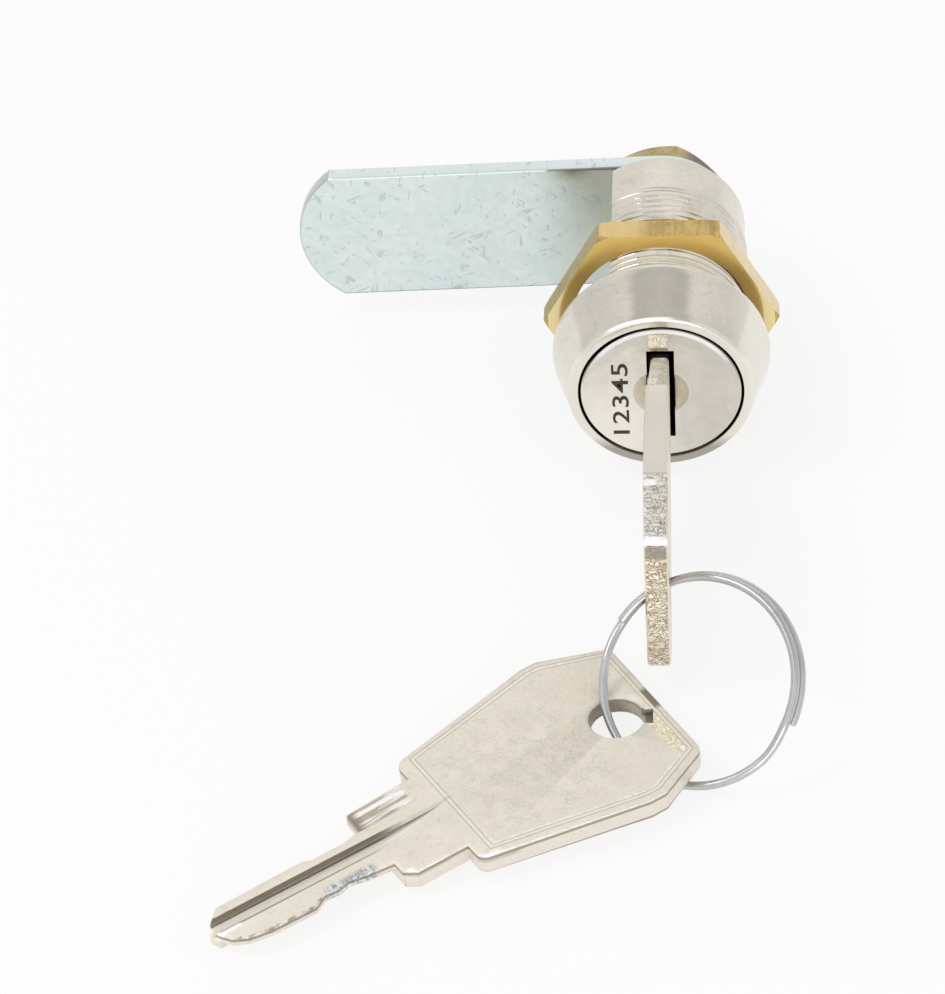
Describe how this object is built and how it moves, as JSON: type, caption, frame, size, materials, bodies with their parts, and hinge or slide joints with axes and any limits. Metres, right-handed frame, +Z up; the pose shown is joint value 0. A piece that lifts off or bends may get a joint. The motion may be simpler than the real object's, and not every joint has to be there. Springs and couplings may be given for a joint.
{
  "type": "mailbox cam lock",
  "caption": "Cam lock for a mailbox door: threaded barrel with a flat and a hex nut, wafer plug, swinging cam, and flat keys on a split ring.",
  "frame": {"origin": "on the lock's axis, in the plane of the head's rear face, where the head meets the door", "axes": "+Y along the lock's axis from the door into the box, -X along the cam at rest, +Z up. The key and its ring are on the -Y side."},
  "size_m": [0.0546, 0.1018, 0.0236],
  "materials": {
    "nickel_housing": "bright nickel plate over brass",
    "nickel_plug": "satin nickel plate over brass",
    "nut_brass": "bare golden brass, machined",
    "cam_zinc": "bright zinc plate over steel, rolled and scratched",
    "washer_steel": "dull zinc plate over steel",
    "wafer_brass": "bare stamped brass",
    "spring_steel": "spring steel",
    "key_nickel": "worn nickel plate over brass",
    "ring_steel": "bright nickel plated steel wire"
  },
  "bodies": {
    "housing": {"housing": "nickel_housing"},
    "panel_nut": {"panel_nut": "nut_brass"},
    "plug": {"plug": "nickel_plug", "stop_washer": "washer_steel", "cam": "cam_zinc", "cam_lock_washer": "washer_steel", "cam_nut": "nut_brass", "wafer_spring_1": "spring_steel", "wafer_spring_2": "spring_steel", "wafer_spring_3": "spring_steel", "wafer_spring_4": "spring_steel", "wafer_spring_5": "spring_steel", "wafer_spring_6": "spring_steel", "wafer_spring_7": "spring_steel", "wafer_spring_8": "spring_steel"},
    "key": {"key": "key_nickel"},
    "key_ring": {"key_ring": "ring_steel"},
    "spare_key": {"spare_key": "key_nickel"},
    "wafer_1": {"wafer_1": "wafer_brass"},
    "wafer_2": {"wafer_2": "wafer_brass"},
    "wafer_3": {"wafer_3": "wafer_brass"},
    "wafer_4": {"wafer_4": "wafer_brass"},
    "wafer_5": {"wafer_5": "wafer_brass"},
    "wafer_6": {"wafer_6": "wafer_brass"},
    "wafer_7": {"wafer_7": "wafer_brass"},
    "wafer_8": {"wafer_8": "wafer_brass"}
  },
  "joints": [
    {"name": "nut_travel", "type": "slide", "parent": "housing", "child": "panel_nut", "axis": [0, 1, 0], "range_m": [-0.0054, 0.0085]},
    {"name": "plug_turn", "type": "hinge", "parent": "housing", "child": "plug", "pos_m": [0, 0, 0], "axis": [0, 1, 0], "range_deg": [0, 90]},
    {"name": "key_slide", "type": "slide", "parent": "plug", "child": "key", "axis": [0, -1, 0], "range_m": [0, 0.026]},
    {"name": "wafer_1_lift", "type": "slide", "parent": "plug", "child": "wafer_1", "axis": [0, 0, 1], "range_m": [0, 0.0009], "deforming": ["wafer_spring_1"]},
    {"name": "wafer_2_lift", "type": "slide", "parent": "plug", "child": "wafer_2", "axis": [0, 0, 1], "range_m": [0, 0.0009], "deforming": ["wafer_spring_2"]},
    {"name": "wafer_3_lift", "type": "slide", "parent": "plug", "child": "wafer_3", "axis": [0, 0, 1], "range_m": [0, 0.0009], "deforming": ["wafer_spring_3"]},
    {"name": "wafer_4_lift", "type": "slide", "parent": "plug", "child": "wafer_4", "axis": [0, 0, 1], "range_m": [0, 0.0009], "deforming": ["wafer_spring_4"]},
    {"name": "wafer_5_lift", "type": "slide", "parent": "plug", "child": "wafer_5", "axis": [0, 0, 1], "range_m": [0, 0.0009], "deforming": ["wafer_spring_5"]},
    {"name": "wafer_6_lift", "type": "slide", "parent": "plug", "child": "wafer_6", "axis": [0, 0, 1], "range_m": [0, 0.0009], "deforming": ["wafer_spring_6"]},
    {"name": "wafer_7_lift", "type": "slide", "parent": "plug", "child": "wafer_7", "axis": [0, 0, 1], "range_m": [0, 0.0009], "deforming": ["wafer_spring_7"]},
    {"name": "wafer_8_lift", "type": "slide", "parent": "plug", "child": "wafer_8", "axis": [0, 0, 1], "range_m": [0, 0.0009], "deforming": ["wafer_spring_8"]},
    {"name": "ring_swing", "type": "hinge", "parent": "key", "child": "key_ring", "pos_m": [-0.00025, -0.03485, 0], "axis": [-1, 0, 0], "range_deg": [-30, 70]},
    {"name": "spare_key_travel", "type": "hinge", "parent": "key_ring", "child": "spare_key", "pos_m": [0.0036, -0.04439, -0.0048], "axis": [-0.3695, -0.585, 0.722], "range_deg": [-3, 75]}
  ],
  "couplings": [
    {"joint": "wafer_1_lift", "follows": "key_slide", "ratio": 0.034615},
    {"joint": "wafer_2_lift", "follows": "key_slide", "ratio": 0.034615},
    {"joint": "wafer_3_lift", "follows": "key_slide", "ratio": 0.034615},
    {"joint": "wafer_4_lift", "follows": "key_slide", "ratio": 0.034615},
    {"joint": "wafer_5_lift", "follows": "key_slide", "ratio": 0.034615},
    {"joint": "wafer_6_lift", "follows": "key_slide", "ratio": 0.034615},
    {"joint": "wafer_7_lift", "follows": "key_slide", "ratio": 0.034615},
    {"joint": "wafer_8_lift", "follows": "key_slide", "ratio": 0.034615}
  ]
}
